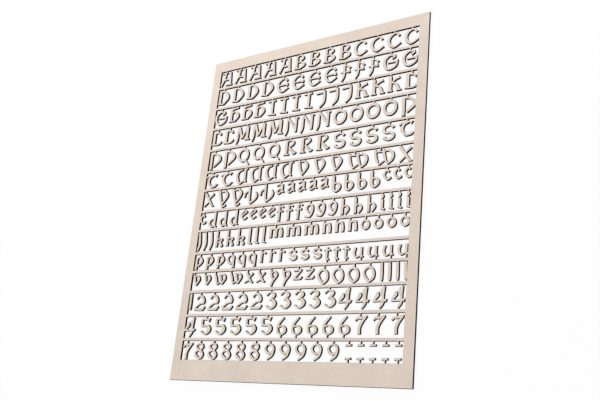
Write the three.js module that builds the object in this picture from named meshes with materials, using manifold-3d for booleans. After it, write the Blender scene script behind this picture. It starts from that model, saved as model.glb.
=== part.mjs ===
// Letter sheet: one board cut into a border, thirteen rails and rows of push-out uncial letters.
// The sheet lies flat: x runs along the rows, y up the sheet, z through the board.
import * as THREE from "three";
import { mergeVertices } from "three/addons/utils/BufferGeometryUtils.js";
import Module from "manifold-3d";

const wasm = await Module();
wasm.setup();

// Driving sizes, in millimetres.
const BOARD = 1.3; // thickness of the board
const CAP_HEIGHT = 8.7; // height of a capital, which scales every letter and the spacing
const SIDE_BORDER = 5.75;
const TOP_BORDER = 7.1;
const BOTTOM_BORDER = 11.2;
const RAIL = 1.5; // height of the rail between two rows
const TAB = 0.7; // width of the tab that a letter hangs from
const SNAP_GAP = 0.3; // cut through the tab of a letter that has been freed
const TAB_BITE = 0.4; // length of tab inside the letter it carries
const END_BLANK = 2; // blank end of each row's last cell, which the side border takes

// Letters are drawn in units with CAP_UNITS units to a capital's height.
const CAP_UNITS = 87;
const UNIT = CAP_HEIGHT / CAP_UNITS;

// Free letters are drawn finely. The many joined copies are plainer: they leave out the small ticks,
// and any corner that stands out by less than the tolerance.
const FINE = { curveSteps: 2, ovalSteps: 14, ticks: true, tolerance: UNIT };
const PLAIN = { curveSteps: 1, ovalSteps: 8, ticks: false, tolerance: 4 * UNIT };
const IN_LINE = 0.02 * UNIT; // a corner nearer than this to a straight line is not kept

const BOARD_COLOUR = 0xdfcfbf;
const WELD = 1e-4; // corners of one outline that are nearer than this become one

// A pen stroke runs through knots of [x, depth below the rail, stroke width].
const pen = (...knots) => ({ knots, isTick: false });

// A tick is a short stroke that ends a letter: a serif, a foot, a barb or a hairline.
const tick = (...knots) => ({ knots, isTick: true });

// An oval stroke: middle, half width, half depth, thickness at the top and at the sides.
const ring = (x, depth, halfWidth, halfDepth, thin, thick) => ({
  x, depth, halfWidth, halfDepth, thin, thick, isTick: false,
});

// A letter: width of its cell, place of its tab, step sideways in the cell, and strokes.
// Letters hang from the rail above, and standing ones are held by the rail below.
const letter = (pitch, tab, nudge, ...strokes) => ({ pitch, tab, nudge, strokes, stands: false });
const standing = (...values) => ({ ...letter(...values), stands: true });

const LETTERS = {
  // capitals
  "A": letter(113, -8, -6,
    tick([-41, 15, 8], [2, 13, 8]),
    pen([-15, 13, 16], [-18, 49, 16], [-42, 102, 14]),
    pen([-17, 61, 10], [25, 61, 10]),
    pen([23, 11, 18], [31, 101, 19]),
    tick([-5, 99, 8], [45, 99, 8])),
  "B": letter(103, -1, -7,
    pen([-27, 15, 19], [-27, 97, 19]),
    pen([-28, 16, 10], [0, 11, 10], [18, 30, 16], [-8, 54, 8]),
    pen([-24, 57, 8], [4, 55, 10], [26, 77, 20], [-2, 99, 10]),
    pen([-42, 96, 8], [0, 99, 9])),
  "C": letter(106, -5, -5,
    pen([20, 22, 10], [-3, 13, 11], [-32, 29, 16], [-41, 58, 18],
      [-29, 85, 17], [-3, 97, 12], [34, 77, 12]),
    tick([13, 18, 14], [24, 33, 14])),
  "D": letter(113, -7, -6,
    pen([-31, 16, 20], [-31, 101, 20]),
    pen([-32, 15, 10], [4, 21, 13], [31, 62, 19], [0, 104, 11]),
    pen([-46, 101, 8], [0, 104, 11])),
  "E": letter(112, -5, -3,
    pen([19, 26, 10], [-4, 18, 11], [-32, 33, 15], [-41, 60, 17],
      [-30, 90, 16], [-5, 103, 11], [34, 83, 11]),
    tick([14, 21, 14], [24, 36, 14]),
    pen([-40, 60, 9], [22, 60, 9]),
    tick([23, 52, 14], [27, 69, 14])),
  "F": letter(90, -9, -7,
    pen([-16, 12, 16], [-14, 59, 16], [-15, 89, 15], [-28, 118, 8]),
    pen([-16, 15, 8], [14, 31, 8]),
    tick([14, 29, 14], [25, 42, 14]),
    pen([-35, 61, 8], [13, 65, 8]),
    tick([14, 54, 14], [20, 70, 14])),
  "G": letter(117, -4, -6,
    pen([8, 22, 10], [-10, 19, 11], [-36, 37, 16], [-43, 63, 18],
      [-32, 91, 16], [-6, 104, 12], [28, 87, 15], [38, 52, 10]),
    tick([4, 43, 9], [24, 26, 16]),
    pen([4, 19, 10], [24, 26, 13]),
    pen([-22, 63, 10], [34, 62, 10])),
  "H": letter(97, -20, -10,
    pen([-26, 11, 18], [-26, 99, 18]),
    pen([-27, 16, 11], [26, 10, 11]),
    pen([-22, 42, 8], [4, 36, 10], [26, 65, 20], [1, 101, 10]),
    tick([-42, 97, 8], [-3, 98, 8])),
  "I": letter(86, -5, -10,
    pen([-2, 15, 17], [-2, 102, 17]),
    pen([-34, 15, 9], [20, 14, 11]),
    pen([-28, 101, 8], [25, 105, 10])),
  "J": letter(86, 10, -10,
    pen([16, 12, 16], [19, 55, 17], [14, 89, 16], [-11, 117, 8]),
    pen([-36, 26, 10], [14, 23, 10])),
  "K": letter(100, -25, -10,
    pen([-26, 12, 19], [-25, 101, 19]),
    pen([-20, 52, 8], [4, 33, 11], [30, 22, 14]),
    pen([-14, 51, 8], [10, 62, 15], [27, 100, 18]),
    tick([-42, 100, 8], [-10, 100, 8]),
    tick([12, 100, 8], [42, 100, 8])),
  "L": letter(93, -4, 0,
    pen([-28, 15, 20], [-28, 99, 20]),
    pen([-28, 18, 10], [10, 24, 9]),
    tick([9, 23, 14], [21, 37, 14]),
    pen([-45, 98, 8], [6, 99, 11], [30, 83, 13])),
  "M": letter(121, 24, -3,
    pen([-42, 12, 10], [-43, 57, 15], [-43, 91, 15], [-52, 118, 8]),
    pen([-35, 11, 19], [-8, 87, 16]),
    pen([-7, 86, 11], [25, 13, 14]),
    pen([30, 11, 19], [30, 100, 19]),
    tick([13, 96, 8], [49, 98, 8])),
  "N": letter(108, -37, 1,
    pen([-40, 11, 10], [-41, 57, 15], [-42, 91, 15], [-51, 118, 8]),
    pen([-36, 12, 12], [19, 85, 17]),
    pen([20, 13, 15], [20, 104, 15]),
    tick([7, 14, 8], [35, 16, 8])),
  "O": letter(104, -5, 0,
    ring(-7, 58, 35, 38, 18, 16)),
  "P": letter(111, -13, -2,
    pen([-34, 15, 19], [-33, 121, 18]),
    pen([-33, 17, 10], [4, 23, 13], [31, 58, 20], [-14, 103, 12])),
  "Q": letter(111, -6, -3,
    ring(-9, 56, 34, 37, 16, 15),
    pen([6, 90, 12], [20, 105, 10], [36, 121, 7])),
  "R": letter(111, -2, -7,
    pen([-27, 13, 19], [-26, 98, 19]),
    pen([-26, 15, 10], [5, 12, 9], [20, 30, 17], [-8, 57, 8]),
    pen([-9, 54, 9], [6, 73, 17], [27, 97, 16]),
    tick([25, 98, 11], [41, 89, 10]),
    tick([-43, 97, 8], [-6, 98, 8])),
  "S": letter(101, -1, -3,
    pen([18, 29, 10], [-2, 19, 9], [-30, 29, 14], [-33, 47, 17], [-22, 59, 13],
      [6, 61, 14], [23, 74, 18], [20, 93, 15], [-6, 102, 12], [-34, 90, 12]),
    tick([14, 22, 13], [24, 34, 17]),
    tick([-36, 87, 9], [-19, 88, 9])),
  "T": letter(113, -3, -5,
    pen([2, 20, 9], [-22, 30, 16], [-30, 60, 18], [-8, 89, 14], [36, 77, 13]),
    pen([-42, 26, 11], [-16, 18, 10], [24, 20, 11]),
    tick([20, 15, 13], [31, 28, 13])),
  "U": letter(107, 20, -1,
    pen([0, 6, 10], [-36, 33, 19], [-36, 67, 20], [-10, 89, 14], [14, 80, 8]),
    pen([20, 4, 17], [20, 86, 17]),
    tick([20, 84, 12], [34, 89, 11]),
    tick([17, 7, 8], [40, 6, 8])),
  "V": letter(109, -33, 0,
    pen([-33, 4, 15], [-26, 42, 16], [-6, 92, 11]),
    pen([4, 8, 10], [24, 37, 17], [15, 64, 15], [-8, 93, 9]),
    tick([-30, 13, 7], [10, 12, 7])),
  "W": letter(157, -22, -2,
    pen([-52, 10, 13], [-46, 47, 15], [-24, 92, 10]),
    pen([-4, 11, 14], [2, 47, 16], [23, 92, 10]),
    pen([-26, 94, 9], [12, 72, 8]),
    pen([24, 16, 10], [50, 43, 17], [22, 94, 9]),
    pen([-50, 21, 8], [-5, 23, 8]),
    tick([-2, 22, 8], [36, 20, 8])),
  "X": letter(109, -35, -7,
    pen([-34, 13, 17], [33, 93, 16]),
    pen([33, 16, 12], [-38, 92, 10]),
    tick([-42, 89, 8], [-25, 92, 8]),
    tick([25, 19, 8], [41, 16, 8])),
  "Y": letter(103, -33, -6,
    pen([-35, 4, 16], [-26, 42, 18], [-8, 93, 11]),
    pen([8, 8, 10], [27, 37, 18], [15, 67, 15], [-10, 96, 10]),
    tick([-32, 16, 7], [14, 14, 7]),
    pen([-12, 94, 13], [-3, 109, 13], [23, 101, 11])),
  "Z": letter(114, -11, -13,
    pen([-45, 61, 10], [-37, 41, 14], [-10, 33, 10]),
    pen([-9, 4, 15], [-8, 77, 16], [0, 109, 10]),
    pen([-1, 109, 10], [35, 85, 16], [43, 61, 15], [35, 42, 8])),
  // small letters
  "a": letter(73, -5, -12,
    pen([-24, 22, 10], [-8, 15, 10], [10, 18, 10]),
    pen([11, 17, 16], [11, 63, 16]),
    pen([6, 37, 8], [-19, 51, 14], [-6, 65, 10], [12, 60, 8]),
    tick([12, 60, 10], [25, 64, 10])),
  "b": letter(78, -22, -12,
    pen([-20, 9, 18], [-19, 79, 18], [-3, 100, 11]),
    pen([-16, 55, 8], [3, 50, 11], [17, 67, 17], [-5, 100, 10])),
  "c": letter(61, -5, -6,
    pen([3, 19, 9], [-8, 15, 10], [-23, 39, 14], [-4, 66, 11], [18, 56, 10]),
    tick([-2, 15, 12], [6, 25, 12])),
  "d": letter(80, 11, -3,
    pen([13, 3, 17], [13, 91, 17]),
    pen([8, 43, 8], [-26, 64, 14], [-8, 91, 10], [12, 86, 8]),
    tick([13, 88, 10], [28, 92, 9])),
  "e": letter(64, -3, -5,
    pen([0, 12, 9], [-22, 37, 14], [-4, 65, 10], [20, 55, 10]),
    pen([-3, 12, 9], [11, 16, 10], [18, 24, 11]),
    pen([19, 22, 11], [-18, 46, 8])),
  "f": letter(63, -7, -8,
    pen([-7, 10, 16], [-7, 98, 16]),
    pen([-8, 13, 9], [11, 18, 9]),
    tick([9, 16, 11], [20, 25, 11]),
    pen([-25, 41, 7], [11, 43, 8]),
    tick([10, 39, 11], [18, 48, 11])),
  "g": letter(74, 0, -7,
    pen([0, 16, 11], [-22, 38, 14], [-6, 63, 10], [14, 56, 8]),
    pen([-2, 16, 11], [16, 31, 15], [16, 62, 17], [2, 89, 11], [-28, 85, 10])),
  "h": letter(79, -21, -7,
    pen([-18, 9, 16], [-18, 98, 16]),
    pen([-14, 57, 7], [4, 49, 10], [17, 70, 16], [2, 97, 9])),
  "i": letter(49, -5, -7,
    pen([-8, 10, 13], [-3, 25, 13], [-9, 38, 10]),
    pen([-4, 35, 15], [-4, 90, 15]),
    pen([-4, 88, 9], [12, 91, 9])),
  "j": letter(44, -2, -5,
    pen([-6, 6, 16], [-1, 25, 16], [-1, 39, 13]),
    pen([0, 35, 17], [3, 78, 17], [-8, 115, 9])),
  "k": letter(79, -20, -5,
    pen([-18, 5, 16], [-18, 99, 16]),
    pen([-14, 59, 7], [6, 52, 10], [17, 59, 11]),
    pen([19, 57, 11], [-6, 72, 8]),
    pen([-6, 68, 8], [15, 80, 15], [23, 99, 16])),
  "l": letter(49, -11, -2,
    pen([-7, 4, 17], [-7, 94, 17]),
    pen([-7, 92, 10], [11, 95, 9])),
  "m": letter(116, -7, -7,
    pen([-36, 14, 18], [-36, 72, 18]),
    pen([1, 22, 19], [1, 72, 19]),
    pen([32, 20, 15], [37, 46, 18], [36, 72, 18]),
    pen([-34, 21, 13], [-16, 20, 13], [2, 24, 11]),
    pen([3, 25, 10], [18, 19, 13], [33, 22, 13])),
  "n": letter(79, -20, -6,
    pen([-19, 15, 18], [-19, 73, 18]),
    pen([13, 20, 15], [18, 47, 17], [17, 73, 17]),
    pen([-18, 21, 13], [-3, 19, 13], [14, 22, 13])),
  "o": letter(75, -2, -8,
    pen([0, 19, 11], [-23, 38, 13], [-23, 56, 13], [-3, 71, 9]),
    pen([-4, 19, 11], [15, 38, 15], [14, 56, 16], [-3, 71, 9])),
  "p": letter(80, 1, -1,
    pen([-22, 17, 16], [-22, 91, 16]),
    pen([-19, 27, 8], [0, 17, 10], [16, 41, 17], [-6, 69, 10]),
    pen([-20, 64, 9], [-2, 69, 10])),
  "q": letter(75, 0, -5,
    pen([16, 25, 15], [16, 91, 16]),
    pen([-2, 16, 11], [16, 29, 14]),
    pen([4, 18, 10], [-24, 41, 14], [-8, 66, 10], [14, 58, 8])),
  "r": letter(63, -3, -11,
    pen([-3, 17, 15], [-3, 73, 15]),
    pen([-3, 20, 9], [15, 17, 9]),
    tick([14, 15, 11], [25, 23, 11])),
  "s": letter(77, 0, 0,
    pen([12, 23, 9], [-2, 17, 10], [-21, 24, 13], [-19, 37, 14],
      [15, 49, 14], [16, 62, 13], [-4, 69, 10], [-24, 59, 10]),
    tick([10, 20, 11], [19, 27, 11])),
  "t": standing(57, -4, -2,
    pen([-2, 12, 9], [-7, 31, 14], [-7, 77, 14]),
    pen([-25, 28, 8], [7, 28, 9]),
    tick([5, 26, 11], [14, 33, 11]),
    pen([-7, 75, 11], [8, 79, 10])),
  "u": standing(84, 23, -12,
    pen([-12, 25, 14], [-18, 55, 14], [-6, 77, 11], [16, 70, 8]),
    pen([23, 25, 15], [23, 74, 15]),
    pen([23, 72, 11], [36, 76, 10])),
  "v": letter(79, -33, 6,
    pen([-30, 10, 11], [-21, 39, 15], [-11, 72, 10]),
    pen([-22, 24, 7], [-4, 17, 10], [10, 38, 15], [-10, 73, 9])),
  "w": letter(113, -41, -2,
    pen([-42, 10, 11], [-31, 39, 16], [-20, 73, 9]),
    pen([-7, 15, 11], [2, 39, 16], [13, 73, 9]),
    pen([-21, 73, 9], [8, 57, 8]),
    pen([1, 25, 7], [20, 17, 10], [34, 38, 15], [14, 73, 9])),
  "x": letter(82, -17, -5,
    pen([-21, 11, 13], [21, 73, 15]),
    pen([21, 18, 12], [-29, 72, 9]),
    tick([-35, 69, 8], [-20, 72, 8])),
  "y": letter(82, -25, -3,
    pen([-24, 10, 11], [-17, 39, 15], [-6, 65, 9]),
    pen([-17, 24, 7], [2, 17, 10], [17, 37, 15], [-6, 70, 13], [-18, 98, 13])),
  "z": letter(76, -1, -8,
    pen([-28, 20, 10], [20, 15, 9]),
    pen([19, 16, 11], [-26, 66, 11]),
    pen([-30, 65, 10], [16, 65, 10]),
    tick([14, 65, 11], [25, 53, 10])),
  // figures and the hyphen
  "0": letter(90, 1, -8,
    pen([2, 16, 13], [-28, 42, 13], [-28, 70, 14], [0, 93, 12]),
    pen([-2, 16, 13], [22, 42, 17], [23, 71, 17], [0, 93, 12])),
  "1": letter(44, -2, -6,
    pen([-2, 4, 16], [0, 83, 16], [-3, 95, 9])),
  "2": letter(100, -2, -8,
    pen([-27, 35, 14], [-12, 20, 10], [12, 23, 14], [24, 46, 16],
      [4, 59, 12], [-28, 79, 10], [-36, 97, 9]),
    pen([-38, 97, 10], [-5, 95, 16], [24, 98, 12]),
    tick([22, 98, 13], [37, 81, 11])),
  "3": letter(92, -6, -8,
    pen([-31, 28, 12], [-11, 14, 9], [13, 21, 14], [14, 38, 13], [-4, 47, 9]),
    pen([-4, 48, 9], [28, 74, 17], [-2, 99, 10], [-28, 87, 11])),
  "4": letter(99, 13, -9,
    pen([18, 5, 13], [13, 47, 15], [13, 86, 15], [-4, 115, 9]),
    pen([15, 15, 9], [-8, 45, 12], [-38, 77, 9]),
    pen([-40, 78, 9], [34, 76, 9]),
    tick([31, 71, 11], [36, 83, 11])),
  "5": letter(105, -4, 3,
    pen([-37, 17, 10], [17, 15, 10]),
    tick([16, 14, 14], [27, 26, 14]),
    pen([-32, 18, 16], [-32, 56, 16]),
    pen([-36, 54, 10], [0, 49, 12], [26, 71, 18], [-4, 97, 11], [-34, 84, 11])),
  "6": standing(95, -6, 2,
    pen([11, 14, 9], [-19, 43, 14], [-29, 73, 13], [-6, 101, 11]),
    pen([-24, 63, 9], [-2, 57, 10], [20, 76, 17], [-6, 102, 10])),
  "7": letter(100, -5, -9,
    pen([-31, 36, 9], [-18, 24, 12], [5, 22, 13], [34, 15, 9]),
    pen([31, 15, 10], [5, 47, 15], [-6, 74, 16], [-5, 103, 16])),
  "8": letter(96, -2, -14,
    ring(-5, 34, 23, 18, 11, 11),
    ring(-5, 74, 26, 19, 11, 13)),
  "9": letter(97, -5, -15,
    pen([0, 16, 11], [-27, 39, 15], [-5, 66, 10], [14, 58, 8]),
    pen([-2, 16, 11], [20, 33, 15], [17, 67, 16], [-16, 99, 8])),
  "-": letter(68, -3, -10,
    pen([-20, 21, 10], [14, 20, 10])),
};

// The rows from the top: the letters of each, and the depth of its window in units.
const ROWS = [
  { letters: "AAAAABBBBCCCC", depth: 113 },
  { letters: "DDDDEEEEFFFGG", depth: 126 },
  { letters: "GHHHIIIIJJJKKKL", depth: 125 },
  { letters: "LLMMMNNNOOOOP", depth: 128 },
  { letters: "PPQQQRRRSSSST", depth: 128 },
  { letters: "TTUUUUVVVWWX", depth: 103 },
  { letters: "XYYZZaaaaabbbbccc", depth: 122 },
  { letters: "cdddeeeefffggghhhiiii", depth: 105 },
  { letters: "jjjkkklllmmmnnnoooo", depth: 123 },
  { letters: "pppqqqrrrssstttuuuu", depth: 96 },
  { letters: "vvwwxxyyzz00001111", depth: 104 },
  { letters: "122222333334444", depth: 122 },
  { letters: "45555566666777", depth: 121 },
  { letters: "78888899999-----", depth: 106 },
];

// These four stay joined to the sheet in every copy, the other characters have one free copy each.
const ALWAYS_JOINED = "ijl-";

// Point of a drawing in millimetres, with y upwards from the rail that the letter hangs from.
const onBoard = (x, depth) => new THREE.Vector2(x * UNIT, -depth * UNIT);

// Points along a stroke: straight between two knots, a smooth curve through more.
function along(knots, detail) {
  const points = knots.map((knot) => new THREE.Vector3(...knot));
  if (points.length === 2) return points;
  const curve = new THREE.CatmullRomCurve3(points, false, "catmullrom");
  return curve.getPoints(Math.round((points.length - 1) * detail.curveSteps));
}

// Outline of a pen stroke: half its width to each side of the path.
function penOutline({ knots }, detail) {
  const points = along(knots, detail);
  const left = [];
  const right = [];
  points.forEach((point, i) => {
    const ahead = points[Math.min(i + 1, points.length - 1)];
    const behind = points[Math.max(i - 1, 0)];
    const side = new THREE.Vector2(behind.y - ahead.y, ahead.x - behind.x).setLength(point.z / 2);
    left.push(onBoard(point.x + side.x, point.y + side.y));
    right.unshift(onBoard(point.x - side.x, point.y - side.y));
  });
  return [...left, ...right];
}

// Oval of a ring: its outside with sign 1, its inside with sign -1.
function oval(stroke, sign, detail) {
  const across = stroke.halfWidth + (sign * stroke.thick) / 2;
  const down = stroke.halfDepth + (sign * stroke.thin) / 2;
  const steps = Math.round(detail.ovalSteps);
  return Array.from({ length: steps }, (_, i) => {
    const angle = (i * 2 * Math.PI) / steps;
    return onBoard(stroke.x + across * Math.cos(angle), stroke.depth - down * Math.sin(angle));
  });
}

const outline = (stroke, detail) => (stroke.knots ? penOutline(stroke, detail) : oval(stroke, 1, detail));

function strokeShape(stroke, detail) {
  const shape = new THREE.Shape(outline(stroke, detail));
  if (!stroke.knots) shape.holes.push(new THREE.Path(oval(stroke, -1, detail)));
  return shape;
}

// Highest and lowest y that a letter's form has between two places across it.
function extent(shape, from = -Infinity, to = Infinity) {
  const points = shape.getPoints();
  const found = [];
  points.forEach((a, i) => {
    const b = points[(i + 1) % points.length];
    const [start, end] = a.x < b.x ? [a, b] : [b, a];
    if (end.x < from || start.x > to) return;
    for (const x of [Math.max(start.x, from), Math.min(end.x, to)]) {
      const part = end.x === start.x ? 0 : (x - start.x) / (end.x - start.x);
      found.push(start.y + part * (end.y - start.y));
    }
  });
  return { top: Math.max(...found), bottom: Math.min(...found) };
}

function rectangle(x0, y0, x1, y1) {
  return [[x0, y0], [x1, y0], [x1, y1], [x0, y1]].map(([x, y]) => new THREE.Vector2(x, y));
}

// A flat shape cut from the board, moved to its place on the sheet.
function cutFromBoard(shape, x = 0, y = 0) {
  const geometry = new THREE.ExtrudeGeometry(shape, { depth: BOARD, bevelEnabled: false });
  geometry.translate(x, y, 0);
  geometry.deleteAttribute("normal");
  geometry.deleteAttribute("uv");
  const welded = mergeVertices(geometry, WELD);
  return new wasm.Manifold(new wasm.Mesh({
    numProp: 3,
    vertProperties: Float32Array.from(welded.attributes.position.array),
    triVerts: Uint32Array.from(welded.index.array),
  }));
}

// Loops round the upper face of a flat solid: each edge that no neighbouring face runs back along.
function upperLoops(solid) {
  const { vertProperties, triVerts } = solid.getMesh();
  const isUpper = (vertex) => vertProperties[vertex * 3 + 2] > BOARD / 2;
  const edges = new Map();
  for (let i = 0; i < triVerts.length; i += 3) {
    const corners = triVerts.subarray(i, i + 3);
    if (!corners.every(isUpper)) continue;
    corners.forEach((from, k) => {
      const to = corners[(k + 1) % 3];
      edges.set(`${from} ${to}`, [from, to]);
    });
  }
  const next = new Map();
  for (const [from, to] of edges.values()) {
    if (!edges.has(`${to} ${from}`)) next.set(from, to);
  }
  const loops = [];
  while (next.size > 0) {
    const [start] = next.keys();
    const loop = [];
    for (let vertex = start; next.has(vertex);) {
      loop.push(new THREE.Vector2(vertProperties[vertex * 3], vertProperties[vertex * 3 + 1]));
      const following = next.get(vertex);
      next.delete(vertex);
      vertex = following;
    }
    loops.push(loop);
  }
  return loops;
}

// The points of an open path that stand out from the line between its ends.
function standingOut(path, tolerance) {
  const first = path[0];
  const last = path[path.length - 1];
  const line = last.clone().sub(first);
  const offsets = path.map((point) => Math.abs(line.cross(point.clone().sub(first))) / line.length());
  const farthest = Math.max(...offsets);
  if (farthest < tolerance) return [first];
  const middle = offsets.indexOf(farthest);
  return [
    ...standingOut(path.slice(0, middle + 1), tolerance),
    ...standingOut(path.slice(middle), tolerance),
  ];
}

// A loop with only the corners that matter, split for this at its two corners farthest apart.
function tidied(loop, tolerance) {
  const lowest = loop.reduce((best, point, i) => (point.y < loop[best].y ? i : best), 0);
  const turned = [...loop.slice(lowest), ...loop.slice(0, lowest)];
  const reach = turned.map((point) => point.distanceTo(turned[0]));
  const far = reach.indexOf(Math.max(...reach));
  return [
    ...standingOut(turned.slice(0, far + 1), tolerance),
    ...standingOut([...turned.slice(far), turned[0]], tolerance),
  ];
}

// One flat shape, with its counters as holes, from solids that overlap.
function joinedShape(solids, tolerance) {
  const tidy = upperLoops(wasm.Manifold.union(solids)).map((loop) => tidied(loop, tolerance));
  const loops = tidy.filter((loop) => loop.length > 2);
  const isOuter = (loop) => !THREE.ShapeUtils.isClockWise(loop);
  const shape = new THREE.Shape(loops.find(isOuter));
  shape.holes = loops.filter((loop) => !isOuter(loop)).map((loop) => new THREE.Path(loop));
  return shape;
}

// Sizes that follow from the rows: the widest row sets the width of every window.
const rowPitch = ({ letters }) => [...letters].reduce((sum, name) => sum + LETTERS[name].pitch, 0) * UNIT;
const fullRow = Math.max(...ROWS.map(rowPitch));
const windowWidth = fullRow - END_BLANK;
const windowDepths = ROWS.map((row) => row.depth * UNIT);
const sheetWidth = windowWidth + 2 * SIDE_BORDER;
const windowsHeight = windowDepths.reduce((sum, depth) => sum + depth, 0) + RAIL * (ROWS.length - 1);
const sheetHeight = TOP_BORDER + windowsHeight + BOTTOM_BORDER;

// Every letter on the sheet: where it hangs, and how far down the rail under it is.
function layOut() {
  const places = [];
  let y = sheetHeight / 2 - TOP_BORDER;
  ROWS.forEach((row, r) => {
    const stretch = fullRow / rowPitch(row);
    const depth = windowDepths[r];
    let x = -windowWidth / 2;
    [...row.letters].forEach((name, i) => {
      const drawing = LETTERS[name];
      const cell = drawing.pitch * UNIT * stretch;
      const middle = x + cell / 2 + drawing.nudge * UNIT;
      const endsRow = i === row.letters.length - 1;
      const place = { name, drawing, x: middle, y, depth, stands: drawing.stands, endsRow };
      places.push(place);
      if (name === "-") places.push(standingTwin(place));
      x += cell;
    });
    y -= depth + RAIL;
  });
  return places;
}

// A second hyphen under the first, as far above the bottom border as that one is below the rail.
function standingTwin(place) {
  const { top, bottom } = extent(letterShape(place, FINE));
  const drop = place.depth + (top - place.y) + (bottom - place.y);
  return { ...place, y: place.y - drop, depth: place.depth - drop, stands: true };
}

// The free copy of a character is its second one that does not end a row.
function pickFree(places) {
  const free = new Set();
  for (const name of Object.keys(LETTERS)) {
    if (ALWAYS_JOINED.includes(name)) continue;
    const copies = places.filter((place) => place.name === name && !place.endsRow);
    free.add(copies[1] ?? copies[0]);
  }
  return free;
}

// The form of a letter in its place on the sheet.
function letterShape({ drawing, x, y }, detail) {
  const strokes = drawing.strokes.filter((stroke) => detail.ticks || !stroke.isTick);
  const cuts = strokes.map((stroke) => cutFromBoard(strokeShape(stroke, detail), x, y));
  return joinedShape(cuts, detail.tolerance);
}

// The tab of a letter: grown from its rail, biting into a joined letter, stopping short of a free one.
function tabSolid({ drawing, x, y, depth, stands }, shape, isFree) {
  const left = x + drawing.tab * UNIT - TAB / 2;
  const right = left + TAB;
  const clearance = isFree ? SNAP_GAP : 0;
  const { top, bottom } = extent(shape, left - clearance, right + clearance);
  const reach = isFree ? -SNAP_GAP : TAB_BITE;
  const corners = stands
    ? rectangle(left, y - depth - RAIL / 2, right, bottom + reach)
    : rectangle(left, top - reach, right, y);
  return cutFromBoard(new THREE.Shape(corners));
}

// A joined letter and its tab, as one body.
function hungSolid(place) {
  const shape = letterShape(place, PLAIN);
  const parts = [cutFromBoard(shape), tabSolid(place, shape, false)];
  return cutFromBoard(joinedShape(parts, IN_LINE));
}

// The border and rails: the whole sheet less one window for each row.
function frameSolid() {
  const right = sheetWidth / 2;
  const upper = sheetHeight / 2;
  const shape = new THREE.Shape(rectangle(-right, -upper, right, upper));
  let top = upper - TOP_BORDER;
  for (const depth of windowDepths) {
    shape.holes.push(new THREE.Path(rectangle(-windowWidth / 2, top - depth, windowWidth / 2, top)));
    top -= depth + RAIL;
  }
  return cutFromBoard(shape);
}

function toMesh(name, solid) {
  const { vertProperties, triVerts } = solid.getMesh();
  const geometry = new THREE.BufferGeometry();
  geometry.setAttribute("position", new THREE.BufferAttribute(vertProperties, 3));
  geometry.setIndex(new THREE.BufferAttribute(triVerts, 1));
  const faceted = geometry.toNonIndexed();
  faceted.computeVertexNormals();
  const material = new THREE.MeshStandardMaterial({ color: BOARD_COLOUR, roughness: 0.9, metalness: 0 });
  const mesh = new THREE.Mesh(faceted, material);
  mesh.name = name;
  return mesh;
}

function pieceName(name) {
  if (/[0-9]/.test(name)) return `figure_${name}`;
  return name === name.toUpperCase() ? `capital_${name}` : `small_${name}`;
}

const sheet = new THREE.Group();
sheet.name = "letter_sheet";
const places = layOut();
const free = pickFree(places);
const carrier = [frameSolid()];
for (const place of places) {
  if (free.has(place)) {
    const shape = letterShape(place, FINE);
    sheet.add(toMesh(pieceName(place.name), cutFromBoard(shape)));
    carrier.push(tabSolid(place, shape, true));
  } else {
    carrier.push(hungSolid(place));
  }
}
sheet.add(toMesh("carrier_sheet", wasm.Manifold.union(carrier)));

export default sheet;
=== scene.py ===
"""Looks of the letter sheet: pale pressed board, cut into letters whose walls are singed by the cut."""

import math

import bpy
from mathutils import Matrix, Vector
from mathutils.geometry import delaunay_2d_cdt


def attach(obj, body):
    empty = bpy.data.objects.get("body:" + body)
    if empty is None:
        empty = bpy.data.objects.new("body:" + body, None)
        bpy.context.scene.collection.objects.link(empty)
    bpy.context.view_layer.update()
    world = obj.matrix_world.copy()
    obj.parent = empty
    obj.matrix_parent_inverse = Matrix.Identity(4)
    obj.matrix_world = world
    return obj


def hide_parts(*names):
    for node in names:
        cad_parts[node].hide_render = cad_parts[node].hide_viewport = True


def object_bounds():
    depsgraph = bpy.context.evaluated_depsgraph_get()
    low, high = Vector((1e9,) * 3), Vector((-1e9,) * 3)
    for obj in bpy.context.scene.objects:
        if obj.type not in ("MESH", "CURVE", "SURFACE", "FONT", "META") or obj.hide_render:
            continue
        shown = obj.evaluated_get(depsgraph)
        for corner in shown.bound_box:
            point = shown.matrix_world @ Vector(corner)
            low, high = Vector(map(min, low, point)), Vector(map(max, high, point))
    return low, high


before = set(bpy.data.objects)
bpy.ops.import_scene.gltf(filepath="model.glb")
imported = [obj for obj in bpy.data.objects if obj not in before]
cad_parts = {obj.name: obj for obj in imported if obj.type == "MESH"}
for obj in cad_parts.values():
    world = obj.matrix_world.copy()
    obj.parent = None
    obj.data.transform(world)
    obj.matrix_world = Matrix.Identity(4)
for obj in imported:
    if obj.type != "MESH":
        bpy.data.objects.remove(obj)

cad_low, cad_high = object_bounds()

# Sizes in millimetres, the same as in the solids.
MM = 0.001  # in metres
BOARD = (cad_high.z - cad_low.z) / MM
CAP_HEIGHT = 8.7
SIDE_BORDER = 5.75
TOP_BORDER = 7.1
BOTTOM_BORDER = 11.2
RAIL = 1.5
TAB = 0.7
END_BLANK = 2.0

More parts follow.
